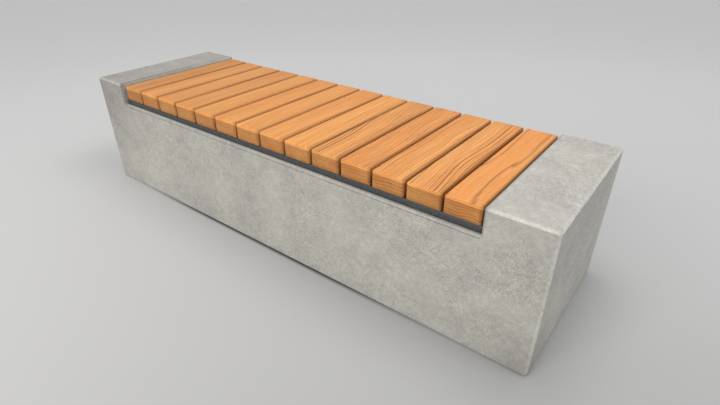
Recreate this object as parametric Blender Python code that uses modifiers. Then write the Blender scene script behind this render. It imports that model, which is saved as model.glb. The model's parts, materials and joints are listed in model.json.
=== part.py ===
"""A backless bench: a precast concrete block with a seat of timber slats let into its top.

The block is one casting. Its recess runs from front to back between two solid end caps. A low
steel frame lies in the recess on two rubber strips and carries the slats, which run from front to
back with even gaps. Two screws from below hold each slat to the frame's rails. Four bolts hold the
frame down in threaded sockets cast into the block, and a long driver reaches them through the gaps
between the slats. Nothing on the bench moves.

Frame: the origin is the middle of the block's underside. +X runs along the bench, -Y is its front
and +Z is up. All lengths are in metres.
"""

from math import cos, pi, radians, sin

import bmesh
import bpy
from mathutils import Matrix

# Driving dimensions: the block.
BLOCK_LENGTH = 1.900
BLOCK_WIDTH = 0.560
BLOCK_HEIGHT = 0.450
CHAMFER = 0.006
RECESS_LENGTH = 1.545
RECESS_DEPTH = 0.078
RIM_CHAMFER = 0.004       # of the recess's two top edges

# Driving dimensions: the slats.
SLAT_COUNT = 14
SLAT_WIDTH = 0.1026
SLAT_THICKNESS = 0.053
SLAT_SETBACK = 0.010      # from the block's front and back faces
SLAT_DROP = 0.006         # below the block's top
SLAT_ROUNDING = 0.006

# Driving dimensions: the frame and the strips under it.
RAIL_SETBACK = 0.0105     # of the rail's outer face from the block's face
RAIL_DEPTH = 0.045
RAIL_END_CLEARANCE = 0.003
PLATE_THICKNESS = 0.004   # of the folded rails
FOLD_RADIUS = 0.006       # outside radius of the fold
BAR_WIDTH = 0.040
BAR_THICKNESS = 0.005
BAR_LIFT = 0.004          # of the cross bars above the recess floor
BAR_EDGE = 0.001
STRIP_WIDTH = 0.010
STRIP_THICKNESS = 0.002

# Driving dimensions: the fasteners.
SCREW_RADIUS = 0.0025
SCREW_LENGTH = 0.040
SCREW_POINT = 0.006
SCREW_HEAD_RADIUS = 0.006
SCREW_HEAD_HEIGHT = 0.003
HOLE_SLACK = 0.0008       # radial, in the frame's holes, for the timber's movement
SCREW_INSET = 0.028       # of the screw rows from the rail's outer face
SCREW_DRIVE_RADIUS = 0.0025   # of the hexagonal recess, across its corners
SCREW_DRIVE_DEPTH = 0.002
BOLT_RADIUS = 0.005
BOLT_LENGTH = 0.034
BOLT_HEAD_RADIUS = 0.008
BOLT_HEAD_HEIGHT = 0.005
BOLT_DRIVE_RADIUS = 0.0035
BOLT_DRIVE_DEPTH = 0.003
BOLT_Y = 0.150
SOCKET_RADIUS = 0.010
SOCKET_FOOT_RADIUS = 0.016
SOCKET_FOOT_HEIGHT = 0.005
SOCKET_LENGTH = 0.070
SOCKET_BORE_DEPTH = 0.045

# Clearance between neighbouring pieces, and how far a cutter stands clear of what it cuts.
GAP = 0.0003
CUTTER_OVERRUN = 0.010

# How finely round pieces are divided, and what counts as one point, a flat seam and a sharp edge.
ROUND_STEPS = 12
FOLD_STEPS = 4
ROUNDING_SEGMENTS = 2
DRIVE_SIDES = 6
WELD_DISTANCE = 0.00001
FLAT_SEAM = radians(1)
SHARP_EDGE = radians(30)

# Levels and places that follow from the driving dimensions.
RECESS_FLOOR = BLOCK_HEIGHT - RECESS_DEPTH
SLAT_TOP = BLOCK_HEIGHT - SLAT_DROP
SLAT_BOTTOM = SLAT_TOP - SLAT_THICKNESS
SLAT_LENGTH = BLOCK_WIDTH - 2 * SLAT_SETBACK
SLAT_GAP = (RECESS_LENGTH - SLAT_COUNT * SLAT_WIDTH) / (SLAT_COUNT + 1)
SLAT_PITCH = SLAT_WIDTH + SLAT_GAP
STRIP_TOP = RECESS_FLOOR + GAP + STRIP_THICKNESS
RAIL_BOTTOM = STRIP_TOP + GAP
RAIL_TOP = SLAT_BOTTOM - GAP
RAIL_HEIGHT = RAIL_TOP - RAIL_BOTTOM
RAIL_LENGTH = RECESS_LENGTH - 2 * RAIL_END_CLEARANCE
RAIL_FACE_Y = BLOCK_WIDTH / 2 - RAIL_SETBACK
SCREW_Y = RAIL_FACE_Y - SCREW_INSET
BAR_LENGTH = 2 * (RAIL_FACE_Y - PLATE_THICKNESS - GAP)
BAR_BOTTOM = RECESS_FLOOR + BAR_LIFT
BAR_TOP = BAR_BOTTOM + BAR_THICKNESS
BOLT_X = (SLAT_COUNT / 2 - 1) * SLAT_PITCH   # under the gap next to each end slat
BOLT_PLACES = [(side * BOLT_X, row * BOLT_Y) for side in (-1, 1) for row in (-1, 1)]
SLAT_PLACES = [(number - (SLAT_COUNT - 1) / 2) * SLAT_PITCH for number in range(SLAT_COUNT)]


def clear_scene():
    """Remove whatever the scene holds."""
    for leftover in list(bpy.data.objects):
        bpy.data.objects.remove(leftover)


def make_collection(name):
    """Add a collection to the scene."""
    collection = bpy.data.collections.new(name)
    bpy.context.scene.collection.children.link(collection)
    return collection


def make_material(name, colour, roughness, metallic=0.0):
    """Make a material with one Principled shader."""
    material = bpy.data.materials.new(name)
    material.use_nodes = True
    shader = material.node_tree.nodes["Principled BSDF"]
    shader.inputs["Base Color"].default_value = (*colour, 1.0)
    shader.inputs["Roughness"].default_value = roughness
    shader.inputs["Metallic"].default_value = metallic
    return material


def place(name, mesh, collection, location=(0, 0, 0), turn=0.0):
    """Add an object that shows a mesh, turned about +Z."""
    piece = bpy.data.objects.new(name, mesh)
    piece.location = location
    piece.rotation_euler.z = turn
    collection.objects.link(piece)
    return piece


def hide_as_cutter(cutter):
    """Mark an object as a cutter, which isn't part of the bench."""
    cutter.hide_render = True
    cutter.display_type = "WIRE"


def box_mesh(name, size, centre=(0, 0, 0)):
    """A plain box."""
    mesh = bpy.data.meshes.new(name)
    shape = bmesh.new()
    stretch = Matrix.Translation(centre) @ Matrix.Diagonal((*size, 1.0))
    bmesh.ops.create_cube(shape, size=1.0, matrix=stretch)
    shape.to_mesh(mesh)
    shape.free()
    return mesh


def rounds_mesh(name, radius, depth, centres, steps=ROUND_STEPS):
    """Upright cylinders, each around its centre."""
    mesh = bpy.data.meshes.new(name)
    shape = bmesh.new()
    for centre in centres:
        bmesh.ops.create_cone(
            shape,
            cap_ends=True,
            segments=steps,
            radius1=radius,
            radius2=radius,
            depth=depth,
            matrix=Matrix.Translation(centre),
        )
    shape.to_mesh(mesh)
    shape.free()
    return mesh


def evaluated_mesh(piece, name):
    """The mesh of an object after its modifiers."""
    bpy.context.view_layer.update()
    graph = bpy.context.evaluated_depsgraph_get()
    mesh = bpy.data.meshes.new_from_object(piece.evaluated_get(graph))
    mesh.name = name
    return mesh


def cut_mesh(name, body_mesh, cutter_meshes, cutters):
    """The mesh left when cutters are taken from a body."""
    body = place(name + "_blank", body_mesh, cutters)
    hide_as_cutter(body)
    for number, cutter_mesh in enumerate(cutter_meshes):
        cutter = place(f"{name}_cutter_{number}", cutter_mesh, cutters)
        hide_as_cutter(cutter)
        boolean = body.modifiers.new("cut", "BOOLEAN")
        boolean.operation = "DIFFERENCE"
        boolean.solver = "EXACT"
        boolean.object = cutter
    return evaluated_mesh(body, name)


def outline_mesh(name, outline, length, cutters):
    """A bar along X whose section in the YZ plane is a closed outline."""
    curve = bpy.data.curves.new(name + "_outline", "CURVE")
    curve.dimensions = "2D"
    curve.fill_mode = "BOTH"
    curve.extrude = length / 2
    spline = curve.splines.new("POLY")
    spline.points.add(len(outline) - 1)
    for point, (across, up) in zip(spline.points, outline):
        point.co = (across, up, 0.0, 1.0)
    spline.use_cyclic_u = True
    guide = bpy.data.objects.new(name + "_outline", curve)
    cutters.objects.link(guide)
    mesh = evaluated_mesh(guide, name)
    bpy.data.objects.remove(guide)

    # The curve lies in its own XY plane: its X becomes Y, its Y becomes Z, its Z becomes X.
    mesh.transform(Matrix(((0, 0, 1, 0), (1, 0, 0, 0), (0, 1, 0, 0), (0, 0, 0, 1))))
    shape = bmesh.new()
    shape.from_mesh(mesh)
    bmesh.ops.remove_doubles(shape, verts=shape.verts, dist=WELD_DISTANCE)
    bmesh.ops.recalc_face_normals(shape, faces=shape.faces)
    shape.to_mesh(mesh)
    shape.free()
    return mesh


def turned_mesh(name, profile, cutters):
    """A solid turned about Z from (radius, height) points that run from its top to its bottom."""
    mesh = bpy.data.meshes.new(name + "_profile")
    shape = bmesh.new()
    points = [shape.verts.new((radius, 0.0, height)) for radius, height in profile]
    for upper, lower in zip(points, points[1:]):
        shape.edges.new((upper, lower))
    shape.to_mesh(mesh)
    shape.free()
    guide = place(name + "_profile", mesh, cutters)
    hide_as_cutter(guide)
    screw = guide.modifiers.new("turn", "SCREW")
    screw.axis = "Z"
    screw.steps = ROUND_STEPS
    screw.render_steps = ROUND_STEPS
    screw.use_merge_vertices = True
    screw.merge_threshold = WELD_DISTANCE
    return evaluated_mesh(guide, name)


def arc(centre, radius, start, end):
    """Points along an arc, between two angles in degrees."""
    angles = [radians(start + (end - start) * step / FOLD_STEPS) for step in range(FOLD_STEPS + 1)]
    return [(centre[0] + radius * cos(angle), centre[1] + radius * sin(angle)) for angle in angles]


def chamfer_block(block):
    """Chamfer the block's outward edges, and the recess's two top edges by less."""
    shape = bmesh.new()
    shape.from_mesh(block.data)
    bmesh.ops.dissolve_limit(shape, angle_limit=FLAT_SEAM, verts=shape.verts, edges=shape.edges)
    weights = shape.edges.layers.float.new("bevel_weight_edge")
    for edge in shape.edges:
        middle = (edge.verts[0].co + edge.verts[1].co) / 2
        on_rim = abs(abs(middle.x) - RECESS_LENGTH / 2) < GAP and middle.z > BLOCK_HEIGHT - GAP
        if edge.calc_face_angle_signed() > SHARP_EDGE:
            edge[weights] = RIM_CHAMFER / CHAMFER if on_rim else 1.0
    shape.to_mesh(block.data)
    shape.free()
    bevel = block.modifiers.new("chamfers", "BEVEL")
    bevel.width = CHAMFER
    bevel.segments = 1
    bevel.limit_method = "WEIGHT"


def socket_profile(grow, bore):
    """Outline of a cast-in socket, from its top on the recess floor to its wide foot."""
    outer = SOCKET_RADIUS + grow
    foot = SOCKET_FOOT_RADIUS + grow
    foot_top = SOCKET_FOOT_HEIGHT - SOCKET_LENGTH + grow
    bottom = -SOCKET_LENGTH - grow
    outside = [(outer, 0.0), (outer, foot_top), (foot, foot_top), (foot, bottom), (0.0, bottom)]
    if bore:
        thread = BOLT_RADIUS + GAP
        return [(0.0, -SOCKET_BORE_DEPTH), (thread, -SOCKET_BORE_DEPTH), (thread, 0.0)] + outside
    return outside


def build_block(bench, cutters, concrete):
    """The casting, with its recess and the pockets that the four sockets are cast into."""
    recess_size = (RECESS_LENGTH, BLOCK_WIDTH * 2, RECESS_DEPTH * 2)
    mesh = cut_mesh(
        "block_with_recess",
        box_mesh("block_blank", (BLOCK_LENGTH, BLOCK_WIDTH, BLOCK_HEIGHT), (0, 0, BLOCK_HEIGHT / 2)),
        [box_mesh("recess", recess_size, (0, 0, BLOCK_HEIGHT))],
        cutters,
    )
    block = place("concrete_block", mesh, bench)
    block.data.materials.append(concrete)
    chamfer_block(block)

    outline = socket_profile(GAP, bore=False)
    mouth = [(0.0, CUTTER_OVERRUN), (SOCKET_RADIUS + GAP, CUTTER_OVERRUN)]
    pocket = turned_mesh("pocket", mouth + outline[1:], cutters)
    for number, (x, y) in enumerate(BOLT_PLACES):
        cutter = place(f"socket_pocket_{number}", pocket, cutters, (x, y, RECESS_FLOOR))
        hide_as_cutter(cutter)
        boolean = block.modifiers.new("socket_pocket", "BOOLEAN")
        boolean.operation = "DIFFERENCE"
        boolean.solver = "EXACT"
        boolean.object = cutter


def build_sockets(bench, cutters, steel):
    """Threaded sockets, flush with the recess floor; the block is also lifted by them."""
    mesh = turned_mesh("socket", socket_profile(0.0, bore=True), cutters)
    mesh.materials.append(steel)
    for number, (x, y) in enumerate(BOLT_PLACES, start=1):
        place(f"cast_in_socket_{number}", mesh, bench, (x, y, RECESS_FLOOR))


def build_slats(bench, cutters, timber):
    """Fourteen slats with rounded edges and two pilot holes in the underside of each."""
    blank = place("slat_blank", box_mesh("slat_blank", (SLAT_WIDTH, SLAT_LENGTH, SLAT_THICKNESS)), cutters)
    hide_as_cutter(blank)
    rounding = blank.modifiers.new("rounding", "BEVEL")
    rounding.width = SLAT_ROUNDING
    rounding.segments = ROUNDING_SEGMENTS
    rounding.limit_method = "ANGLE"

    hole_depth = SCREW_LENGTH - PLATE_THICKNESS - GAP
    hole_centres = [(0, row * SCREW_Y, -SLAT_THICKNESS / 2) for row in (-1, 1)]
    holes = rounds_mesh("pilot_holes", SCREW_RADIUS + GAP, 2 * hole_depth, hole_centres)
    mesh = cut_mesh("slat", evaluated_mesh(blank, "rounded_slat"), [holes], cutters)
    mesh.materials.append(timber)
    middle = (SLAT_TOP + SLAT_BOTTOM) / 2
    for number, x in enumerate(SLAT_PLACES, start=1):
        place(f"slat_{number:02d}", mesh, bench, (x, 0, middle))


def build_rails(bench, cutters, paint):
    """Front and rear rails: folded steel angles, with a hole for each slat's screw."""
    inside_fold = FOLD_RADIUS - PLATE_THICKNESS
    under_leaf = RAIL_HEIGHT - PLATE_THICKNESS
    outline = [(0.0, 0.0), (PLATE_THICKNESS, 0.0)]
    outline += arc((FOLD_RADIUS, under_leaf - inside_fold), inside_fold, 180, 90)
    outline += [(RAIL_DEPTH, under_leaf), (RAIL_DEPTH, RAIL_HEIGHT)]
    outline += arc((FOLD_RADIUS, RAIL_HEIGHT - FOLD_RADIUS), FOLD_RADIUS, 90, 180)

    centres = [(x, SCREW_INSET, RAIL_HEIGHT - PLATE_THICKNESS / 2) for x in SLAT_PLACES]
    drill_length = PLATE_THICKNESS + 2 * CUTTER_OVERRUN
    holes = rounds_mesh("rail_holes", SCREW_RADIUS + HOLE_SLACK, drill_length, centres)
    bar = outline_mesh("rail_bar", outline, RAIL_LENGTH, cutters)
    mesh = cut_mesh("rail", bar, [holes], cutters)
    mesh.materials.append(paint)
    place("front_rail", mesh, bench, (0, -RAIL_FACE_Y, RAIL_BOTTOM))
    place("rear_rail", mesh, bench, (0, RAIL_FACE_Y, RAIL_BOTTOM), turn=pi)


def build_cross_bars(bench, cutters, paint):
    """Three flat bars between the rails; the outer two take the bolts."""
    size = (BAR_WIDTH, BAR_LENGTH, BAR_THICKNESS)
    blank = place("cross_bar_blank", box_mesh("cross_bar_blank", size), cutters)
    hide_as_cutter(blank)
    edges = blank.modifiers.new("edges", "BEVEL")
    edges.width = BAR_EDGE
    edges.segments = 1
    edges.limit_method = "ANGLE"
    plain = evaluated_mesh(blank, "cross_bar")
    centres = [(0, row * BOLT_Y, 0) for row in (-1, 1)]
    drill_length = BAR_THICKNESS + 2 * CUTTER_OVERRUN
    holes = rounds_mesh("bolt_holes", BOLT_RADIUS + HOLE_SLACK, drill_length, centres)
    drilled = cut_mesh("drilled_cross_bar", plain.copy(), [holes], cutters)
    for mesh in (plain, drilled):
        mesh.materials.append(paint)
    for name, mesh, x in (
        ("cross_bar_left", drilled, -BOLT_X),
        ("cross_bar_middle", plain, 0.0),
        ("cross_bar_right", drilled, BOLT_X),
    ):
        place(name, mesh, bench, (x, 0, (BAR_BOTTOM + BAR_TOP) / 2))


def build_strips(bench, rubber):
    """Rubber strips between the rails' lower edges and the concrete."""
    size = (RAIL_LENGTH, STRIP_WIDTH, STRIP_THICKNESS)
    mesh = box_mesh("seating_strip", size)
    mesh.materials.append(rubber)
    y = RAIL_FACE_Y - STRIP_WIDTH / 2
    z = STRIP_TOP - STRIP_THICKNESS / 2
    place("front_seating_strip", mesh, bench, (0, -y, z))
    place("rear_seating_strip", mesh, bench, (0, y, z))


def drive_mesh(name, radius, depth, head_face):
    """The hexagonal cutter for a drive recess in a head whose face is at a given height."""
    return rounds_mesh(name, radius, 2 * depth, [(0, 0, head_face)], DRIVE_SIDES)


def build_slat_screws(bench, cutters, stainless):
    """Two screws for each slat, driven upwards through the rails."""
    blank = turned_mesh(
        "slat_screw_blank",
        [
            (0.0, SCREW_LENGTH),
            (SCREW_RADIUS, SCREW_LENGTH - SCREW_POINT),
            (SCREW_RADIUS, 0.0),
            (SCREW_HEAD_RADIUS, 0.0),
            (SCREW_HEAD_RADIUS, -SCREW_HEAD_HEIGHT),
            (0.0, -SCREW_HEAD_HEIGHT),
        ],
        cutters,
    )
    drive = drive_mesh("screw_drive", SCREW_DRIVE_RADIUS, SCREW_DRIVE_DEPTH, -SCREW_HEAD_HEIGHT)
    mesh = cut_mesh("slat_screw", blank, [drive], cutters)
    mesh.materials.append(stainless)
    seat = RAIL_TOP - PLATE_THICKNESS - GAP
    for row_name, row in (("front", -1), ("rear", 1)):
        for number, x in enumerate(SLAT_PLACES, start=1):
            place(f"slat_screw_{row_name}_{number:02d}", mesh, bench, (x, row * SCREW_Y, seat))


def build_bolts(bench, cutters, stainless):
    """Four bolts with low heads, through the outer cross bars into the sockets."""
    blank = turned_mesh(
        "bolt_blank",
        [
            (0.0, BOLT_HEAD_HEIGHT),
            (BOLT_HEAD_RADIUS, BOLT_HEAD_HEIGHT),
            (BOLT_HEAD_RADIUS, 0.0),
            (BOLT_RADIUS, 0.0),
            (BOLT_RADIUS, -BOLT_LENGTH),
            (0.0, -BOLT_LENGTH),
        ],
        cutters,
    )
    drive = drive_mesh("bolt_drive", BOLT_DRIVE_RADIUS, BOLT_DRIVE_DEPTH, BOLT_HEAD_HEIGHT)
    mesh = cut_mesh("frame_bolt", blank, [drive], cutters)
    mesh.materials.append(stainless)
    for number, (x, y) in enumerate(BOLT_PLACES, start=1):
        place(f"frame_bolt_{number}", mesh, bench, (x, y, BAR_TOP + GAP))


def main():
    """Build every piece of the bench."""
    clear_scene()
    bench = make_collection("backless_bench")
    cutters = make_collection("cutters")

    concrete = make_material("concrete", (0.42, 0.40, 0.36), 0.85)
    timber = make_material("timber", (0.62, 0.29, 0.11), 0.55)
    paint = make_material("dark_paint", (0.06, 0.065, 0.07), 0.5)
    rubber = make_material("rubber", (0.02, 0.02, 0.02), 0.8)
    stainless = make_material("stainless_steel", (0.55, 0.55, 0.54), 0.35, 1.0)

    build_block(bench, cutters, concrete)
    build_sockets(bench, cutters, stainless)
    build_slats(bench, cutters, timber)
    build_rails(bench, cutters, paint)
    build_cross_bars(bench, cutters, paint)
    build_strips(bench, rubber)
    build_slat_screws(bench, cutters, stainless)
    build_bolts(bench, cutters, stainless)


main()
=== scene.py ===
"""Looks for the backless bench: cast concrete, grained timber slats and a painted steel frame.

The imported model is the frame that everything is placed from. The casting and the slats are replaced
by finer meshes of the same size, with worn arrises, air holes and raised grain. The steel, the rubber
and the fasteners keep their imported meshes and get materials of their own. Lengths are in metres.
"""

import json
import random
from math import copysign, cos, floor, radians, sin, sqrt, tan

import bmesh
import bpy
from mathutils import Matrix, Vector, noise


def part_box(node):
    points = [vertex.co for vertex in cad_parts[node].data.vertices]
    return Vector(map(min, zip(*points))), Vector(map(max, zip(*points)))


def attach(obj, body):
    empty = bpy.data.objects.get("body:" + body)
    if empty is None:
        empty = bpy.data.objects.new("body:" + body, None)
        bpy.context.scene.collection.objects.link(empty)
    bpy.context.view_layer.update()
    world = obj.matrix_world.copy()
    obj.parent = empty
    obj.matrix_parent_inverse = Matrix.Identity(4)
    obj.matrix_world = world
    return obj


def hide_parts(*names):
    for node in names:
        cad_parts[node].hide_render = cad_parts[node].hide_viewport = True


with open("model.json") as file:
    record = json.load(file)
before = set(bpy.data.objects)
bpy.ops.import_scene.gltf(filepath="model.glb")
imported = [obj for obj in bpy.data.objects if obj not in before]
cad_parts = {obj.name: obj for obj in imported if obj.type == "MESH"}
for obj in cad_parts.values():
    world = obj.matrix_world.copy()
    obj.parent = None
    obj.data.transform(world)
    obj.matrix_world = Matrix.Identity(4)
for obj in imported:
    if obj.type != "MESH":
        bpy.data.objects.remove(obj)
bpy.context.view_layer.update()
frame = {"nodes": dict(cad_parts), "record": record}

# Sizes that follow from the frame.
BLOCK_LOW, BLOCK_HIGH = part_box("concrete_block")
SLATS = sorted(name for name in frame["nodes"] if name.startswith("slat_") and "screw" not in name)
SLAT_LOW, SLAT_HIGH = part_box(SLATS[0])
SLAT_SIZE = SLAT_HIGH - SLAT_LOW
SLAT_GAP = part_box(SLATS[1])[0].x - SLAT_HIGH.x
RECESS_HALF = -(SLAT_LOW.x - SLAT_GAP)
RECESS_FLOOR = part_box("cast_in_socket_1")[1].z
SCREW_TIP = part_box("slat_screw_front_01")[1].z
SCREW_Y = sum(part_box("slat_screw_rear_01"), Vector()).y / 2

# The casting's finish.
BLOCK_GRID = 0.012         # side of the cells that its faces are divided into
ARRIS_SUPPORT = 0.0015     # width of the narrow cells next to each chamfer
CHAMFER = 0.006
RIM_CHAMFER = 0.004
WAVE_DEPTH = 0.0002        # of the faint unevenness of its faces
CHIP_DEPTH = 0.0035
CHIP_THRESHOLD = 0.34      # of the noise above which an arris is chipped
ARRIS_WEAR = 0.00008
MOULD_LINE_DROP = 0.003    # of the fine mould line below the ledge's chamfer
MOULD_LINE_WIDTH = 0.002
MOULD_LINE_DEPTH = 0.0008
FOOT_HEIGHT = 0.009        # of the painted contact shade along the foot of the block
FOOT_SHADE = 0.30          # how dark the painted contact shade at the foot is at the ends
FOOT_SHADE_MIDDLE = 0.85
FLOOR_SHADOW_REACH = 0.014   # of the painted contact shadow on the floor along the block
MOULD_LINE_LEVEL = RECESS_FLOOR - CHAMFER - MOULD_LINE_DROP
AIR_HOLE_COUNT = 150
AIR_HOLE_RADII = (0.0005, 0.0014)

# The slats' finish.
SLAT_ROUNDING = 0.006
ROUNDING_SEGMENTS = 5
LOWER_ROUNDING = 0.0012
LOWER_SEGMENTS = 2
PILOT_RADIUS = 0.0028
PILOT_CLEARANCE = 0.0003
SLAT_CELL = Vector((0.002, 0.015, 0.003))
CROWN = 0.0003             # how far a slat's long edges lie below the middle of its top
GRAIN_RELIEF = 0.00012
RING_DIP = 0.8             # how far a ring moves across a slat for each step down it
LENGTH_SPREAD = 0.0005
LEFT_SHADE_REACH = 0.006         # how far the painted shade on a slat's left edge reaches
RIGHT_SHADE_REACH = 0.011
SLAT_FOOT_SHADE = 0.016
SHADE_FADE = (0.003, 0.007) # how far down a slat's side the painted shade starts and ends fading
DEEP_SHADE_REACH = 0.016         # further down, the length over which the painted shade in the gap deepens again
HIGHLIGHT_DROP = 0.0065       # of the middle of the painted highlight band below a slat's top, along its ends
HIGHLIGHT_REACH = 0.0055

# The camera, the lens and the stage.
CAMERA_PLACE = (1.127, -1.2203, 1.0336)
CAMERA_YAW = 37.257
CAMERA_PITCH = 30.592
VERTICAL_VIEW = 45.0
ASPECT = 720 / 405
SENSOR_WIDTH = 36.0
FLOOR_SIZE = 60.0
FLOOR_SHADE_PLACE = (1.7, -1.1, 0.0)  # where the painted shade on the floor is deepest, and how far that reaches
FLOOR_SHADE_REACH = 4.5

SEED = 11
WELD_DISTANCE = 0.00002
FLAT_SEAM = radians(1)
SHARP_EDGE = radians(32)


class Shader:
    """A material's node tree, with a short call for each kind of node that the looks use."""

    def __init__(self, name):
        self.material = bpy.data.materials.new(name)
        self.material.use_nodes = True
        self.tree = self.material.node_tree
        self.surface = self.tree.nodes["Principled BSDF"]
        self.place = self.add("ShaderNodeTexCoord").outputs["Object"]

    def add(self, kind, **settings):
        """Add a node and set its properties."""
        node = self.tree.nodes.new(kind)
        for setting, value in settings.items():
            setattr(node, setting, value)
        return node

    def feed(self, socket, value):
        """Wire an output into an input, or set the input to a plain value."""
        if isinstance(value, bpy.types.NodeSocket):
            self.tree.links.new(value, socket)
        else:
            socket.default_value = value

    def set(self, **values):
        """Feed inputs of the surface, named with _ in place of each space."""
        for name, value in values.items():
            self.feed(self.surface.inputs[name.replace("_", " ")], value)

    def stretched(self, scale, vector=None):
        """Coordinates scaled on each axis."""
        node = self.add("ShaderNodeVectorMath", operation="MULTIPLY")
        self.feed(node.inputs[0], vector or self.place)
        self.feed(node.inputs[1], scale)
        return node.outputs["Vector"]

    def shifted(self, vector, amount):
        """Coordinates moved by an amount along all three axes."""
        node = self.add("ShaderNodeVectorMath", operation="ADD")
        self.feed(node.inputs[0], vector)
        self.feed(node.inputs[1], amount)
        return node.outputs["Vector"]

    def noise(self, scale, detail=4.0, roughness=0.5, vector=None):
        """Cloudy noise from 0 to 1."""
        node = self.add("ShaderNodeTexNoise")
        self.feed(node.inputs["Vector"], vector or self.place)
        self.feed(node.inputs["Scale"], scale)
        self.feed(node.inputs["Detail"], detail)
        self.feed(node.inputs["Roughness"], roughness)
        return node.outputs["Fac"]

    def axes(self):
        """The three parts of the place."""
        node = self.add("ShaderNodeSeparateXYZ")
        self.feed(node.inputs[0], self.place)
        return node.outputs

    def near(self, point, reach):
        """From 1 at a point to 0 at a distance from it."""
        node = self.add("ShaderNodeVectorMath", operation="DISTANCE")
        self.feed(node.inputs[0], self.place)
        self.feed(node.inputs[1], point)
        return self.spread(node.outputs["Value"], 0.0, reach, 1.0, 0.0)

    def by_number(self, value):
        """A random number from 0 to 1 for each whole number that a value passes."""
        node = self.add("ShaderNodeTexWhiteNoise", noise_dimensions="1D")
        self.feed(node.inputs["W"], self.math("FLOOR", value))
        return node.outputs["Value"]

    def cells(self, scale, vector=None):
        """Distance to the nearest of a scatter of points."""
        node = self.add("ShaderNodeTexVoronoi")
        self.feed(node.inputs["Vector"], vector or self.place)
        self.feed(node.inputs["Scale"], scale)
        return node.outputs["Distance"]

    def math(self, operation, first, second=0.0, clamp=False):
        """One sum on two numbers."""
        node = self.add("ShaderNodeMath", operation=operation, use_clamp=clamp)
        self.feed(node.inputs[0], first)
        self.feed(node.inputs[1], second)
        return node.outputs["Value"]

    def spread(self, value, start, end, low=0.0, high=1.0):
        """Map start..end to low..high and hold it there."""
        node = self.add("ShaderNodeMapRange", interpolation_type="SMOOTHSTEP")
        for socket, number in zip(node.inputs, (value, start, end, low, high)):
            self.feed(socket, number)
        return node.outputs["Result"]

    def mix(self, factor, first, second, blend="MIX"):
        """Mix two colours."""
        node = self.add("ShaderNodeMix", data_type="RGBA", blend_type=blend)
        self.feed(node.inputs["Factor"], factor)
        self.feed(node.inputs[6], first)
        self.feed(node.inputs[7], second)
        return node.outputs[2]

    def blend(self, factor, first, second):
        """Mix two numbers."""
        node = self.add("ShaderNodeMix", data_type="FLOAT")
        self.feed(node.inputs[0], factor)
        self.feed(node.inputs[2], first)
        self.feed(node.inputs[3], second)
        return node.outputs[0]

    def scale_colour(self, colour, amount):
        """A colour made lighter or darker by a number."""
        node = self.add("ShaderNodeVectorMath", operation="SCALE")
        self.feed(node.inputs[0], colour)
        self.feed(node.inputs["Scale"], amount)
        return node.outputs["Vector"]

    def shade(self, colour, amount, strength):
        """A colour darkened where an amount from 0 to 1 is high, by up to a strength."""
        return self.scale_colour(colour, self.math("SUBTRACT", 1.0, self.math("MULTIPLY", amount, strength)))

    def attribute(self, name, of_object=False):
        """A number kept on the mesh, or on the whole object."""
        node = self.add("ShaderNodeAttribute", attribute_name=name)
        node.attribute_type = "OBJECT" if of_object else "GEOMETRY"
        return node.outputs["Fac"]

    def bump(self, height, depth, below=None):
        """A bump whose full height is a depth in metres, on top of another bump."""
        node = self.add("ShaderNodeBump")
        self.feed(node.inputs["Height"], height)
        self.feed(node.inputs["Distance"], depth)
        if below is not None:
            self.feed(node.inputs["Normal"], below)
        return node.outputs["Normal"]


def concrete_material():
    """Pale grey cast concrete: cloudy, mottled and fine-pored, with a painted highlight on the open arrises and
    painted shade around the recess and at the foot.
    """
    shader = Shader("cast_concrete")
    clouds = shader.noise(3.0, 3.0, 0.5)
    blotches = shader.noise(11.0, 6.0, 0.62)
    mottle = shader.noise(70.0, 6.0, 0.70)
    speckle = shader.noise(210.0, 4.0, 0.75)
    grit = shader.noise(700.0, 3.0, 0.7)
    lime = shader.noise(5.5, 4.0, 0.55, shader.shifted(shader.place, (4.0, 9.0, 2.0)))

    colour = shader.mix(
        shader.spread(clouds, 0.35, 0.65), (0.412, 0.398, 0.366, 1), (0.448, 0.434, 0.396, 1)
    )
    colour = shader.mix(shader.spread(lime, 0.50, 0.74, 0.0, 0.35), colour, (0.470, 0.463, 0.395, 1))
    colour = shader.scale_colour(colour, shader.spread(blotches, 0.34, 0.60, 0.93, 1.035))
    colour = shader.scale_colour(colour, shader.spread(mottle, 0.30, 0.70, 0.88, 1.10))
    rough_patches = shader.noise(6.0, 3.0, 0.5, shader.shifted(shader.place, (7.0, 1.0, 5.0)))
    darkest = shader.spread(rough_patches, 0.38, 0.62, 0.93, 0.74)
    lightest = shader.spread(rough_patches, 0.38, 0.62, 1.07, 1.20)
    colour = shader.scale_colour(colour, shader.spread(speckle, 0.30, 0.70, darkest, lightest))
    colour = shader.scale_colour(colour, shader.spread(grit, 0.25, 0.75, 0.92, 1.08))

    pores = shader.spread(shader.cells(150.0), 0.12, 0.24)
    pore_patches = shader.spread(shader.noise(17.0, 2.0), 0.48, 0.66)
    open_pores = shader.math("MULTIPLY", shader.math("SUBTRACT", 1.0, pores), pore_patches)
    colour = shader.scale_colour(colour, shader.spread(open_pores, 0.0, 1.0, 1.0, 0.72))
    # painted highlight: the open arrises are lightened by up to a quarter
    arris = shader.attribute("arris")
    colour = shader.scale_colour(colour, shader.spread(arris, 0.0, 1.0, 1.0, 1.25))
    colour = paint_shade_and_mould_line(shader, colour)

    trowel = shader.bump(mottle, 0.0016)
    grain = shader.bump(speckle, 0.0011, trowel)
    shader.set(
        Base_Color=colour,
        Roughness=shader.spread(mottle, 0.3, 0.7, 0.74, 0.90),
        Normal=shader.bump(pores, 0.0003, grain),
    )
    shader.surface.inputs["Specular IOR Level"].default_value = 0.3
    return shader.material


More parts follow.
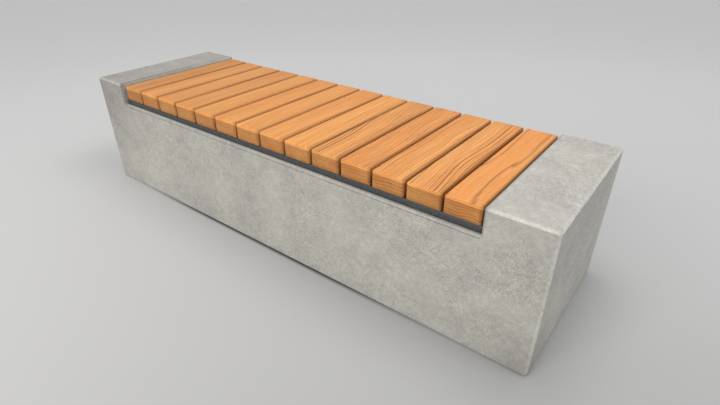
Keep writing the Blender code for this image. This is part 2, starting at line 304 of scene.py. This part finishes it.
def paint_shade_and_mould_line(shader, colour):
    """Paint shade along the recess's rims, on the ledge and at the foot, darken the mould line, lighten the
    lower left of the front and darken the upper left and lower right front corners.
    """
    x, y, z = shader.axes()
    across = shader.math("ABSOLUTE", x)
    out = shader.math("ABSOLUTE", y)
    by_recess = shader.spread(x, -RECESS_HALF - CHAMFER * 3.5, -RECESS_HALF - CHAMFER, 0.0, 1.0)
    outside = shader.spread(x, -RECESS_HALF, -RECESS_HALF + CHAMFER, 1.0, 0.0)
    above_ledge = shader.spread(z, RECESS_FLOOR - CHAMFER * 2, RECESS_FLOOR + CHAMFER)
    at_face = shader.spread(out, BLOCK_HIGH.y - CHAMFER * 2, BLOCK_HIGH.y - CHAMFER)
    # painted shade: the front face beside the left end of the recess is darkened by up to 0.42
    on_rim = shader.math("MULTIPLY", shader.math("MULTIPLY", by_recess, outside), above_ledge)
    colour = shader.shade(colour, shader.math("MULTIPLY", on_rim, at_face), 0.42)

    # painted shade on the top beside the left end of the recess, strongest at the front
    on_top = shader.spread(z, BLOCK_HIGH.z - CHAMFER, BLOCK_HIGH.z)
    by_left_edge = shader.spread(x, -RECESS_HALF - CHAMFER * 7, -RECESS_HALF - CHAMFER, 0.0, 1.0)
    top_rim = shader.math("MULTIPLY", shader.math("MULTIPLY", by_left_edge, outside), on_top)
    to_back = shader.spread(y, BLOCK_LOW.y, BLOCK_HIGH.y, 0.34, 0.12)
    colour = shader.shade(colour, shader.math("MULTIPLY", top_rim, to_back), 1.0)

    # painted shade on the rim at the right end of the recess
    by_right_edge = shader.spread(x, RECESS_HALF + CHAMFER / 2, RECESS_HALF + CHAMFER * 1.6, 1.0, 0.0)
    right_wall = shader.spread(x, RECESS_HALF - CHAMFER, RECESS_HALF)
    right_rim = shader.math("MULTIPLY", shader.math("MULTIPLY", by_right_edge, right_wall), above_ledge)
    colour = shader.shade(colour, right_rim, 0.22)

    # painted shade on the ledge in front of the slats, deeper towards the right, where the slats shade it
    on_ledge = shader.spread(z, RECESS_FLOOR - CHAMFER, RECESS_FLOOR - CHAMFER / 2)
    inwards = shader.spread(out, BLOCK_HIGH.y - CHAMFER * 1.2, BLOCK_HIGH.y - CHAMFER / 4, 1.0, 0.0)
    inside = shader.spread(across, RECESS_HALF - CHAMFER / 2, RECESS_HALF + CHAMFER / 2, 1.0, 0.0)
    ledge_strength = shader.spread(x, 0.15, 0.70, 0.10, 0.42)
    on_ledge = shader.math("MULTIPLY", shader.math("MULTIPLY", on_ledge, inwards), inside)
    colour = shader.shade(colour, shader.math("MULTIPLY", on_ledge, ledge_strength), 1.0)

    from_line = shader.math("ABSOLUTE", shader.math("SUBTRACT", z, MOULD_LINE_LEVEL))
    on_line = shader.spread(from_line, MOULD_LINE_WIDTH / 4, MOULD_LINE_WIDTH, 1.0, 0.0)
    colour = shader.shade(colour, shader.math("MULTIPLY", on_line, inside), 0.40)

    # painted contact shade: the foot is darkened, most along the middle of the long sides
    foot = shader.spread(z, 0.0, FOOT_HEIGHT, 1.0, 0.0)
    middle = middle_of_side(shader, x)
    foot_strength = shader.blend(middle, FOOT_SHADE, FOOT_SHADE_MIDDLE)
    colour = shader.shade(colour, foot, foot_strength)

    # lighter towards the lower left of the front, darker towards the upper left and lower right front corners
    pale = shader.near((BLOCK_LOW.x * 0.75, BLOCK_LOW.y, BLOCK_LOW.z), 0.60)
    colour = shader.scale_colour(colour, shader.math("ADD", 1.0, shader.math("MULTIPLY", pale, 0.12)))
    off_top = shader.spread(z, BLOCK_HIGH.z - CHAMFER, BLOCK_HIGH.z, 1.0, 0.40)
    upper_left = shader.near((BLOCK_LOW.x, BLOCK_LOW.y, BLOCK_HIGH.z), 0.40)
    colour = shader.shade(colour, shader.math("MULTIPLY", upper_left, off_top), 0.30)
    return shader.shade(colour, shader.near((BLOCK_HIGH.x, BLOCK_LOW.y, BLOCK_LOW.z), 0.22), 0.26)


def middle_of_side(shader, x):
    """From 1 along the middle of the long sides to 0 towards their ends."""
    return shader.spread(shader.math("ABSOLUTE", shader.math("ADD", x, 0.05)), 0.25, 0.80, 1.0, 0.0)


def growth_lines(shader, growth, ripple, line_start):
    """Dark latewood lines: they deepen through each ring from line_start, end sharply and vary by ring."""
    wobble = shader.math("MULTIPLY", shader.math("SUBTRACT", ripple, 0.5), 0.45)
    rings = shader.math("ADD", growth, wobble)
    ring = shader.math("FRACT", rings)
    rise = shader.spread(ring, line_start, 0.93)
    fall = shader.spread(ring, 0.93, 1.0, 1.0, 0.0)
    line = shader.math("MULTIPLY", rise, fall)
    return shader.math("MULTIPLY", line, shader.spread(shader.by_number(rings), 0.0, 1.0, 0.55, 1.20))


def timber_material():
    """Oiled hardwood: growth rings from the mesh, lengthwise fibres, pores, a tone for each slat, painted shade
    at the slats' edges and in the gaps, and a painted highlight under the ends' top edges.
    """
    shader = Shader("oiled_hardwood")
    start = shader.attribute("grain_start", of_object=True)
    place = shader.shifted(shader.place, start)
    fibres = shader.noise(1.0, 5.0, 0.6, shader.stretched((620.0, 9.0, 620.0), place))
    streaks = shader.noise(1.0, 3.0, 0.5, shader.stretched((70.0, 2.2, 70.0), place))
    bands = shader.noise(1.0, 2.0, 0.5, shader.stretched((16.0, 1.6, 16.0), place))

    end_grain = shader.spread(shader.attribute("end_grain"), 0.3, 0.7)
    line_start = shader.attribute("line_start", of_object=True)
    long_lines = growth_lines(shader, shader.attribute("growth"), streaks, line_start)
    long_lines = shader.math("MULTIPLY", long_lines, shader.attribute("line_strength", of_object=True))
    end_ripple = shader.noise(1.0, 3.0, 0.5, shader.stretched((38.0, 38.0, 130.0), place))
    painted_highlight = shader.attribute("painted_highlight")
    end_lines = growth_lines(shader, shader.attribute("end_growth"), end_ripple, 0.45)
    # the end's growth lines fade where the painted highlight is
    end_lines = shader.math("MULTIPLY", end_lines, shader.spread(painted_highlight, 0.0, 1.0, 0.50, 0.12))
    lines = shader.blend(end_grain, long_lines, end_lines)

    colour = shader.mix(
        shader.spread(bands, 0.32, 0.68), (0.700, 0.285, 0.072, 1), (0.800, 0.365, 0.103, 1)
    )
    colour = shader.mix(shader.spread(streaks, 0.40, 0.75, 0.0, 0.40), colour, (0.590, 0.210, 0.048, 1))
    colour = shader.mix(shader.attribute("redness", of_object=True), colour, (0.740, 0.235, 0.054, 1))
    colour = shader.mix(lines, colour, (0.200, 0.070, 0.022, 1))
    colour = shader.scale_colour(colour, shader.spread(fibres, 0.28, 0.72, 0.80, 1.12))
    pore_noise = shader.noise(1.0, 1.0, 0.5, shader.stretched((900.0, 34.0, 900.0), place))
    colour = shader.scale_colour(colour, shader.spread(pore_noise, 0.62, 0.76, 1.0, 0.74))
    # each slat's random tone, with painted shade on the first slat
    colour = shader.scale_colour(colour, shader.attribute("tone_and_shade", of_object=True))
    colour = shader.scale_colour(colour, shader.spread(end_grain, 0.0, 1.0, 1.0, 0.73))
    # painted shade: right edges, gap sides, feet of the ends and left edges are darkened down to 0.56
    painted_shade = shader.attribute("painted_shade")
    colour = shader.scale_colour(colour, shader.spread(painted_shade, 0.0, 1.0, 1.0, 0.56))
    # painted highlight: the band under the top of each end is lightened up to 1.65 times
    colour = shader.scale_colour(colour, shader.spread(painted_highlight, 0.0, 1.0, 1.0, 1.65))

    raised = shader.bump(fibres, 0.00025)
    shader.set(
        Base_Color=colour,
        Roughness=shader.spread(fibres, 0.25, 0.75, 0.46, 0.62),
        Normal=shader.bump(shader.math("SUBTRACT", 1.0, lines), 0.0004, raised),
    )
    shader.surface.inputs["Specular IOR Level"].default_value = 0.35
    return shader.material


def paint_material():
    """Anthracite powder coat with a fine orange-peel and a little dust."""
    shader = Shader("anthracite_powder_coat")
    peel = shader.noise(900.0, 2.0)
    dust = shader.noise(75.0, 6.0, 0.65)
    colour = shader.mix(
        shader.spread(dust, 0.40, 0.75, 0.0, 0.55), (0.036, 0.041, 0.046, 1), (0.088, 0.090, 0.090, 1)
    )
    shader.set(
        Base_Color=colour,
        Roughness=shader.spread(dust, 0.3, 0.7, 0.42, 0.62),
        Normal=shader.bump(peel, 0.0001),
    )
    return shader.material


def rubber_material():
    """Matt black rubber with a dusty bloom."""
    shader = Shader("matt_rubber")
    bloom = shader.noise(55.0, 5.0, 0.6)
    colour = shader.mix(shader.spread(bloom, 0.35, 0.75), (0.016, 0.016, 0.017, 1), (0.040, 0.040, 0.040, 1))
    shader.set(
        Base_Color=colour,
        Roughness=shader.spread(bloom, 0.3, 0.7, 0.72, 0.88),
        Normal=shader.bump(shader.noise(600.0, 3.0), 0.0001),
    )
    return shader.material


def steel_material(name, colour, roughness):
    """Bare or plated steel with turning marks and slight staining."""
    shader = Shader(name)
    turning = shader.noise(1.0, 2.0, 0.5, shader.stretched((300.0, 300.0, 4000.0)))
    stain = shader.noise(160.0, 4.0, 0.6)
    shader.set(
        Base_Color=shader.scale_colour(colour, shader.spread(stain, 0.3, 0.7, 0.82, 1.05)),
        Roughness=shader.spread(stain, 0.3, 0.7, roughness, roughness + 0.18),
        Metallic=1.0,
        Normal=shader.bump(turning, 0.00005),
    )
    return shader.material


def floor_material():
    """A pale studio floor with painted shade, deepest in front of the camera, and a painted contact shadow
    along the block.
    """
    shader = Shader("pale_floor")
    # painted shade: the floor's colour falls from 0.80 to 0.33 towards a place in front of the camera
    floor_shade = shader.near(FLOOR_SHADE_PLACE, FLOOR_SHADE_REACH)
    colour = shader.mix(floor_shade, (0.80, 0.80, 0.80, 1), (0.33, 0.33, 0.33, 1))
    x, y, _ = shader.axes()
    # painted contact shadow on the floor along the block's long sides, darkest in the middle
    from_block = shader.math("SUBTRACT", shader.math("ABSOLUTE", y), BLOCK_HIGH.y)
    along_block = shader.spread(from_block, -FLOOR_SHADOW_REACH / 4, FLOOR_SHADOW_REACH, 1.0, 0.0)
    contact_shadow = shader.math("MULTIPLY", along_block, middle_of_side(shader, x))
    shader.set(Base_Color=shader.shade(colour, contact_shadow, 0.80), Roughness=0.75)
    return shader.material


def steps_between(low, high, cell):
    """Places that divide a length into equal cells no longer than the one asked for."""
    count = max(1, round((high - low) / cell))
    return [low + (high - low) * step / count for step in range(1, count)]


def slice_shape(shape, axis, places):
    """Cut all faces of a bmesh along planes across one axis."""
    direction = Vector((0, 0, 0))
    direction[axis] = 1.0
    for place in places:
        everything = shape.verts[:] + shape.edges[:] + shape.faces[:]
        bmesh.ops.bisect_plane(shape, geom=everything, plane_co=direction * place, plane_no=direction)


def show_piece(name, mesh, material, slot, *nodes):
    """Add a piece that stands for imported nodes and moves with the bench's one body."""
    mesh.materials.clear()
    mesh.materials.append(material)
    mesh.shade_smooth()
    mesh.set_sharp_from_angle(angle=SHARP_EDGE)
    piece = bpy.data.objects.new(name, mesh)
    bpy.context.scene.collection.objects.link(piece)
    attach(piece, "root")
    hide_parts(*nodes)
    return piece


def on_outside(point):
    """True for a point of the casting that isn't in its recess, where the frame and slats fit closely."""
    in_recess = abs(point.x) < RECESS_HALF + WELD_DISTANCE and point.z > RECESS_FLOOR - CHAMFER * 2
    near_side = BLOCK_HIGH.y - abs(point.y) < CHAMFER + WELD_DISTANCE
    in_pocket = abs(point.x) < RECESS_HALF and BLOCK_HIGH.y - abs(point.y) > CHAMFER and point.z > CHAMFER
    return not in_pocket and (near_side or not in_recess)


def arris_faces(shape):
    """The casting's chamfers: faces that look along none of the three axes."""
    return [
        face for face in shape.faces
        if max(abs(part) for part in face.normal) < 0.95 and on_outside(face.calc_center_median())
    ]


def catches_light(point):
    """True for a point on an open arris that gets the painted highlight: not at the foot, along the ledge or
    around the recess.
    """
    by_recess = abs(point.x) < RECESS_HALF + CHAMFER * 2 and point.z > RECESS_FLOOR - CHAMFER * 2
    return point.z > CHAMFER * 2 and not by_recess


def wear_casting(shape):
    """Rub and chip the arrises, and make the flat faces faintly uneven, always inwards; mark the open arrises
    for a painted highlight.
    """
    highlight_layer = shape.verts.layers.float.new("arris")
    shape.normal_update()
    arris = {vertex for face in arris_faces(shape) for vertex in face.verts}
    line_end = RECESS_HALF - CHAMFER
    moves = {}
    for vertex in shape.verts:
        if not on_outside(vertex.co):
            continue
        depth = WAVE_DEPTH * (0.5 + 0.5 * noise.noise(vertex.co * 9.0))
        if abs(vertex.co.z - MOULD_LINE_LEVEL) < WELD_DISTANCE and abs(vertex.co.x) < line_end:
            depth += MOULD_LINE_DEPTH
        if vertex in arris:
            # painted highlight: open arrises are marked 1, to be lightened in the concrete's colour
            vertex[highlight_layer] = float(catches_light(vertex.co))
            rough = noise.noise(vertex.co * 38.0) * 0.6 + noise.noise(vertex.co * 150.0) * 0.4
            depth += ARRIS_WEAR * (0.5 + 0.5 * noise.noise(vertex.co * 210.0))
            depth += CHIP_DEPTH * max(0.0, rough - CHIP_THRESHOLD)
        moves[vertex] = vertex.normal * -depth
    for vertex, move in moves.items():
        vertex.co += move


def sink_air_holes(shape):
    """Sink small round holes, as trapped air leaves, into cells scattered over the upright faces."""
    chance = random.Random(SEED)
    whole_cell = (BLOCK_GRID * 0.8) ** 2
    cells = [
        face for face in shape.faces
        if len(face.verts) == 4 and face.calc_area() > whole_cell
        and max(abs(face.normal.x), abs(face.normal.y)) > 0.98 and on_outside(face.calc_center_median())
    ]
    cells.sort(key=lambda face: tuple(round(part, 5) for part in face.calc_center_median()))
    taken = set()
    for cell in chance.sample(cells, AIR_HOLE_COUNT):
        if any(near in taken for vertex in cell.verts for near in vertex.link_faces):
            continue
        taken.add(cell)
    for cell in sorted(taken, key=lambda face: tuple(round(part, 5) for part in face.calc_center_median())):
        radius = chance.uniform(*AIR_HOLE_RADII)
        half_cell = sqrt(cell.calc_area()) / 2
        bmesh.ops.inset_individual(shape, faces=[cell], thickness=half_cell - radius)
        corners = bmesh.ops.bevel(
            shape, geom=cell.verts[:], offset=radius * 0.58, segments=1, affect="VERTICES"
        )
        around = [face for corner in corners["faces"] for edge in corner.edges for face in edge.link_faces]
        mouth = max(around, key=lambda face: len(face.verts))
        for share, depth in ((0.22, 0.55), (0.30, 0.35)):
            bmesh.ops.inset_individual(shape, faces=[mouth], thickness=radius * share, depth=-radius * depth)


def build_casting():
    """The concrete block, divided finely enough to carry its wear and its air holes."""
    shape = bmesh.new()
    shape.from_mesh(frame["nodes"]["concrete_block"].data)
    bmesh.ops.remove_doubles(shape, verts=shape.verts, dist=WELD_DISTANCE)
    bmesh.ops.dissolve_limit(shape, angle_limit=FLAT_SEAM, verts=shape.verts, edges=shape.edges)
    for axis in range(3):
        edge = CHAMFER + ARRIS_SUPPORT
        low, high = BLOCK_LOW[axis] + edge, BLOCK_HIGH[axis] - edge
        slice_shape(shape, axis, [low, high] + steps_between(low, high, BLOCK_GRID))
    rim = RECESS_HALF + RIM_CHAMFER + ARRIS_SUPPORT
    slice_shape(shape, 0, [-rim, rim])
    mould_line = [MOULD_LINE_LEVEL + side * MOULD_LINE_WIDTH / 2 for side in (-1, 0, 1)]
    slice_shape(shape, 2, [RECESS_FLOOR - CHAMFER - ARRIS_SUPPORT] + mould_line)
    arris_edges = dict.fromkeys(edge for face in arris_faces(shape) for edge in face.edges)
    long_edges = [edge for edge in arris_edges if edge.calc_length() > CHAMFER * 1.5]
    bmesh.ops.subdivide_edges(shape, edges=long_edges, cuts=2, use_grid_fill=True)
    wear_casting(shape)
    sink_air_holes(shape)
    mesh = bpy.data.meshes.new("casting")
    shape.to_mesh(mesh)
    shape.free()
    stale = mesh.attributes.get("custom_normal")
    if stale:
        mesh.attributes.remove(stale)
    show_piece("casting", mesh, concrete_material(), "concrete", "concrete_block")


def under_slat(edge):
    """True for an edge that lies in a slat's underside."""
    return all(abs(vertex.co.z + SLAT_SIZE.z / 2) < WELD_DISTANCE for vertex in edge.verts)


def round_edges(shape, edges, radius, segments):
    """Round edges of a bmesh to a radius."""
    bmesh.ops.bevel(shape, geom=edges, offset=radius, segments=segments, profile=0.5, affect="EDGES")


def slat_blank():
    """A slat about its own middle: rounded above, eased below, drilled twice from below and divided."""
    shape = bmesh.new()
    bmesh.ops.create_cube(shape, size=1.0, matrix=Matrix.Diagonal((*SLAT_SIZE, 1.0)))
    round_edges(shape, [edge for edge in shape.edges if not under_slat(edge)], SLAT_ROUNDING, ROUNDING_SEGMENTS)
    round_edges(shape, [edge for edge in shape.edges if under_slat(edge)], LOWER_ROUNDING, LOWER_SEGMENTS)
    mesh = bpy.data.meshes.new("slat_blank")
    shape.to_mesh(mesh)
    shape.free()

    drills = bmesh.new()
    reach = SCREW_TIP + PILOT_CLEARANCE - SLAT_LOW.z
    for y in (-SCREW_Y, SCREW_Y):
        centre = Matrix.Translation((0, y, -SLAT_SIZE.z / 2))
        bmesh.ops.create_cone(
            drills, cap_ends=True, segments=16, radius1=PILOT_RADIUS, radius2=PILOT_RADIUS,
            depth=2 * reach, matrix=centre,
        )
    drill_mesh = bpy.data.meshes.new("drills")
    drills.to_mesh(drill_mesh)
    drills.free()

    blank = bpy.data.objects.new("slat_blank", mesh)
    drill = bpy.data.objects.new("drills", drill_mesh)
    for helper in (blank, drill):
        bpy.context.scene.collection.objects.link(helper)
    cut = blank.modifiers.new("pilot_holes", "BOOLEAN")
    cut.operation = "DIFFERENCE"
    cut.solver = "EXACT"
    cut.object = drill
    bpy.context.view_layer.update()
    graph = bpy.context.evaluated_depsgraph_get()
    drilled = bpy.data.meshes.new_from_object(blank.evaluated_get(graph))
    for helper in (blank, drill):
        bpy.data.objects.remove(helper)

    shape = bmesh.new()
    shape.from_mesh(drilled)
    for axis in range(3):
        reach = SLAT_SIZE[axis] / 2 - SLAT_ROUNDING
        slice_shape(shape, axis, steps_between(-reach, reach, SLAT_CELL[axis]))
    shape.to_mesh(drilled)
    shape.free()
    return drilled


def grain_figure(chance, style):
    """How one slat's grain runs: how wide its rings are, how its lines lean and sway, how dark they are."""
    figure = {
        "ring": chance.uniform(0.0120, 0.0190),
        "lean": chance.uniform(-0.05, 0.05),
        "sway": chance.uniform(0.006, 0.014),
        "sway_pace": Vector((7.0, chance.uniform(2.5, 4.5), 7.0)),
        "start": Vector((chance.uniform(0, 50), chance.uniform(0, 50), chance.uniform(0, 50))),
        "end_ring": chance.uniform(0.0070, 0.0105),
        "end_bow": chance.uniform(-0.25, 0.25),
        "line_start": 0.25,
        "line_strength": chance.uniform(0.22, 0.34),
        "redness": chance.uniform(0.0, 0.15),
    }
    if style == "fine":
        figure["ring"] = chance.uniform(0.0060, 0.0082)
        figure["sway"] = chance.uniform(0.020, 0.032)
        figure["line_strength"] = chance.uniform(0.70, 0.82)
        figure["line_start"] = 0.35
    if style == "flowing":
        figure.update(ring=0.062, lean=-0.03, sway=0.030, line_start=0.82, line_strength=0.98, redness=0.12)
        figure.update(sway_pace=Vector((3.0, 6.5, 7.0)), start=Vector((4.8, 49.3, 7.4)))
    return figure


def growth_at(point, figure):
    """How many rings across a slat a point lies, along lines that sway down its length."""
    pace = figure["sway_pace"]
    sway = figure["sway"] * noise.noise(Vector(a * b for a, b in zip(point, pace)) + figure["start"])
    dip = RING_DIP * (SLAT_SIZE.z / 2 - point.z)
    even = (point.x + figure["lean"] * point.y + sway + dip) / figure["ring"]
    return even + 0.9 * noise.noise(Vector((even * 0.55, 0, 0)) + figure["start"])


def end_growth_at(point, figure):
    """How many rings up a slat's end a point lies, along lines that are near level and slightly bowed."""
    sway = 0.006 * noise.noise(point * 24.0 + figure["start"])
    level = point.z + figure["end_bow"] * point.x ** 2 / SLAT_SIZE.x + sway
    return level / figure["end_ring"] + figure["start"].x


def latewood(growth):
    """From 0 to 1, how far into its ring's dark, hard part a point lies."""
    return (growth - floor(growth)) ** 3


def painted_shade_at(point):
    """From 0 to 1, how much painted shade a point gets: most on the right edge, less a little way down its
    side, more again deeper in the gap, and some on the left edge and at the foot.
    """
    half = SLAT_SIZE / 2
    from_foot = point.z + half.z
    at_right = max(0.0, 1.0 - (half.x - point.x) / RIGHT_SHADE_REACH)
    at_left = max(0.0, 1.0 - (half.x + point.x) / LEFT_SHADE_REACH)
    at_foot = max(0.0, 1.0 - from_foot / SLAT_FOOT_SHADE)
    fade_start, fade_end = SHADE_FADE
    from_top = min(max(half.z - point.z, fade_start), fade_end)
    on_side = half.x - abs(point.x) < WELD_DISTANCE and half.y - abs(point.y) > SLAT_ROUNDING
    faded = (from_top - fade_start) / (fade_end - fade_start) if on_side else 0.0
    if on_side:
        deep = min(1.0, max(0.0, (half.z - point.z - fade_end) / DEEP_SHADE_REACH))
        return max(at_right * (1.0 - faded), deep)
    return max(at_right, 0.65 * at_left, 0.65 * at_foot)


def painted_highlight_at(point):
    """From 0 to 1, how strong the painted highlight is at a point: in a band under a slat's top along its ends.
    """
    half = SLAT_SIZE / 2
    if half.y - abs(point.y) > SLAT_ROUNDING:
        return 0.0
    from_band = abs(half.z - point.z - HIGHLIGHT_DROP)
    return max(0.0, 1.0 - from_band / HIGHLIGHT_REACH)


def keep_marks(mesh, name, marks):
    """Keep a number for each vertex of a mesh, for its material to read."""
    mesh.attributes.new(name, "FLOAT", "POINT").data.foreach_set("value", marks)


def shape_slat(mesh, figure, chance):
    """Crown a slat, raise its grain and vary its length, always inwards, and mark its grain, its painted shade
    and its painted highlight.
    """
    points = [vertex.co.copy() for vertex in mesh.vertices]
    half = SLAT_SIZE / 2
    growths = [growth_at(point, figure) for point in points]
    at_end = [half.y - abs(point.y) < SLAT_ROUNDING / 2 for point in points]
    keep_marks(mesh, "growth", growths)
    keep_marks(mesh, "end_growth", [end_growth_at(point, figure) for point in points])
    end_face = [half.y - abs(point.y) < SLAT_ROUNDING * 0.15 for point in points]
    keep_marks(mesh, "end_grain", [float(end) for end in end_face])
    keep_marks(mesh, "painted_shade", [painted_shade_at(point) for point in points])
    keep_marks(mesh, "painted_highlight", [painted_highlight_at(point) for point in points])

    shorten = (chance.uniform(0, LENGTH_SPREAD), chance.uniform(0, LENGTH_SPREAD))
    for vertex, point, growth, end in zip(mesh.vertices, points, growths, at_end):
        relief = GRAIN_RELIEF * (1.0 - latewood(growth))
        if end:
            vertex.co.y -= copysign(shorten[point.y > 0] + relief, point.y)
        if point.z > 0:
            vertex.co.z -= CROWN * point.z / half.z * (point.x / half.x) ** 2
        if half.z - point.z < WELD_DISTANCE:
            vertex.co.z -= relief


def build_slats():
    """Fourteen slats, each with its own figure and tone."""
    chance = random.Random(SEED)
    blank = slat_blank()
    timber = timber_material()
    for number, node in enumerate(SLATS, start=1):
        style = "plain"
        if number > len(SLATS) - 5:
            style = "fine"
        if number == len(SLATS):
            style = "flowing"
        figure = grain_figure(chance, style)
        mesh = blank.copy()
        shape_slat(mesh, figure, chance)
        low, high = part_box(node)
        mesh.transform(Matrix.Translation((low + high) / 2))
        piece = show_piece(f"timber_{node}", mesh, timber, "timber", node)
        piece["grain_start"] = chance.uniform(0.0, 40.0)
        for trait in ("line_start", "line_strength", "redness"):
            piece[trait] = figure[trait]
        # painted shade: the first slat, beside the left wall of the recess, is darkened by 5%
        piece["tone_and_shade"] = chance.uniform(0.975, 1.025) * (0.95 if number == 1 else 1.0)


def dress_hardware():
    """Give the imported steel, rubber and fasteners their own materials."""
    looks = {
        "dark_paint": paint_material(),
        "rubber": rubber_material(),
        "stainless_steel": steel_material("stainless_steel_turned", (0.56, 0.56, 0.55), 0.30),
        "socket_steel": steel_material("zinc_plated_steel", (0.47, 0.48, 0.46), 0.42),
    }
    for part in frame["record"]["subparts"]:
        look = looks.get(part["material_slot"])
        if look:
            mesh = frame["nodes"][part["node"]].data
            mesh.materials.clear()
            mesh.materials.append(look)


def build_stage():
    """A wide pale floor under the block."""
    mesh = bpy.data.meshes.new("floor")
    shape = bmesh.new()
    bmesh.ops.create_grid(shape, x_segments=1, y_segments=1, size=FLOOR_SIZE / 2)
    shape.to_mesh(mesh)
    shape.free()
    mesh.materials.append(floor_material())
    ground = bpy.data.objects.new("floor", mesh)
    ground.location.z = BLOCK_LOW.z - 0.0005
    bpy.context.scene.collection.objects.link(ground)


def add_lamp(name, place, aim, size, power, colour=(1, 1, 1)):
    """A square softbox that looks at a point."""
    light = bpy.data.lights.new(name, "AREA")
    light.size = size
    light.energy = power
    light.color = colour
    lamp = bpy.data.objects.new(name, light)
    lamp.location = place
    lamp.rotation_euler = (Vector(aim) - Vector(place)).to_track_quat("-Z", "Y").to_euler()
    bpy.context.scene.collection.objects.link(lamp)


def light_stage():
    """An even pale surround, and a large softbox high in front of the bench."""
    world = bpy.data.worlds.new("surround")
    world.use_nodes = True
    background = world.node_tree.nodes["Background"]
    background.inputs["Color"].default_value = (1.0, 1.0, 1.0, 1)
    background.inputs["Strength"].default_value = 0.63
    bpy.context.scene.world = world
    add_lamp("key", (0.40, -3.0, 1.8), (0.2, 0, 0.25), 2.0, 56.0, (1.0, 0.985, 0.96))
    add_lamp("overhead", (0.60, 0.20, 2.1), (0.50, 0.05, 0.45), 1.0, 15.0)
    add_lamp("side", (3.2, 0.4, 1.3), (0.9, 0, 0.25), 1.4, 15.2)


def add_camera():
    """The camera, at the photograph's viewing angle."""
    camera_data = bpy.data.cameras.new("camera")
    camera_data.sensor_width = SENSOR_WIDTH
    camera_data.lens = SENSOR_WIDTH / 2 / (tan(radians(VERTICAL_VIEW) / 2) * ASPECT)
    camera = bpy.data.objects.new("camera", camera_data)
    camera.location = CAMERA_PLACE
    camera.rotation_euler = (radians(90 - CAMERA_PITCH), 0, radians(CAMERA_YAW))
    bpy.context.scene.collection.objects.link(camera)
    bpy.context.scene.camera = camera


build_casting()
build_slats()
dress_hardware()
build_stage()
light_stage()
add_camera()
bpy.context.scene.view_settings.view_transform = "Standard"
